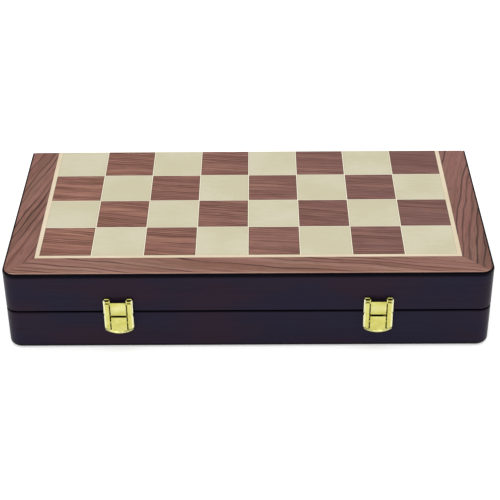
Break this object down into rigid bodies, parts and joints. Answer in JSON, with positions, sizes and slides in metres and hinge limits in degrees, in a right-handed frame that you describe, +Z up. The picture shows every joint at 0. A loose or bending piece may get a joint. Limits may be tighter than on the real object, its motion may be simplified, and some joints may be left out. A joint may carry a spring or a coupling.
{
  "type": "chess set",
  "caption": "Closed folding wooden chess case with half of an inlaid board in each outer face, brass snap latches and butt hinges, and turned men lying in foam inserts.",
  "frame": {"origin": "centre of the flat underside of the closed case, on the middle of its width and depth without latches and hinges", "axes": "+X along the long side to the right seen from the latches, +Y from the latches to the hinge edge, +Z up out of the lid"},
  "size_m": [0.3, 0.1564, 0.055],
  "materials": {
    "dark_lacquer": "satin",
    "board_core": "matte",
    "border_veneer": "satin",
    "dark_veneer": "satin",
    "light_veneer": "satin",
    "pale_inlay": "satin",
    "gilt_brass": "polished",
    "flocked_foam": "matte",
    "boxwood": "satin",
    "walnut": "satin"
  },
  "bodies": {
    "base": {"base_back_wall": "dark_lacquer", "base_board_panel": "board_core", "base_border_front": "border_veneer", "base_border_left": "border_veneer", "base_border_right": "border_veneer", "base_dark_squares": "dark_veneer", "base_front_wall": "dark_lacquer", "base_insert": "flocked_foam", "base_left_wall": "dark_lacquer", "base_light_squares": "light_veneer", "base_right_wall": "dark_lacquer", "base_stringing": "pale_inlay", "hinge_base_leaf_left": "gilt_brass", "hinge_base_leaf_right": "gilt_brass", "hinge_base_screws": "gilt_brass", "hinge_pin_left": "gilt_brass", "hinge_pin_right": "gilt_brass", "latch_base_nails": "gilt_brass", "latch_base_plate_left": "gilt_brass", "latch_base_plate_right": "gilt_brass", "latch_catch_bar_left": "gilt_brass", "latch_catch_bar_right": "gilt_brass", "white_bishops": "boxwood", "white_king": "boxwood", "white_knights": "boxwood", "white_pawns": "boxwood", "white_queen": "boxwood", "white_rooks": "boxwood"},
    "lid": {"black_bishops": "walnut", "black_king": "walnut", "black_knights": "walnut", "black_pawns": "walnut", "black_queen": "walnut", "black_rooks": "walnut", "hinge_lid_leaf_left": "gilt_brass", "hinge_lid_leaf_right": "gilt_brass", "hinge_lid_screws": "gilt_brass", "latch_lid_nails": "gilt_brass", "latch_lid_plate_left": "gilt_brass", "latch_lid_plate_right": "gilt_brass", "latch_pins_left": "gilt_brass", "latch_pins_right": "gilt_brass", "lid_back_wall": "dark_lacquer", "lid_board_panel": "board_core", "lid_border_front": "border_veneer", "lid_border_left": "border_veneer", "lid_border_right": "border_veneer", "lid_dark_squares": "dark_veneer", "lid_front_wall": "dark_lacquer", "lid_insert": "flocked_foam", "lid_left_wall": "dark_lacquer", "lid_light_squares": "light_veneer", "lid_right_wall": "dark_lacquer", "lid_stringing": "pale_inlay"},
    "left_flap": {"latch_flap_left": "gilt_brass"},
    "right_flap": {"latch_flap_right": "gilt_brass"}
  },
  "joints": [
    {"name": "lid_hinge", "type": "hinge", "parent": "base", "child": "lid", "pos_m": [0, 0.0753, 0.0275], "axis": [-1, 0, 0], "range_deg": [0, 180]},
    {"name": "left_latch", "type": "hinge", "parent": "lid", "child": "left_flap", "pos_m": [-0.07965, -0.0769, 0.03565], "axis": [-1, 0, 0], "range_deg": [0, 130]},
    {"name": "right_latch", "type": "hinge", "parent": "lid", "child": "right_flap", "pos_m": [0.07965, -0.0769, 0.03565], "axis": [-1, 0, 0], "range_deg": [0, 130]}
  ]
}
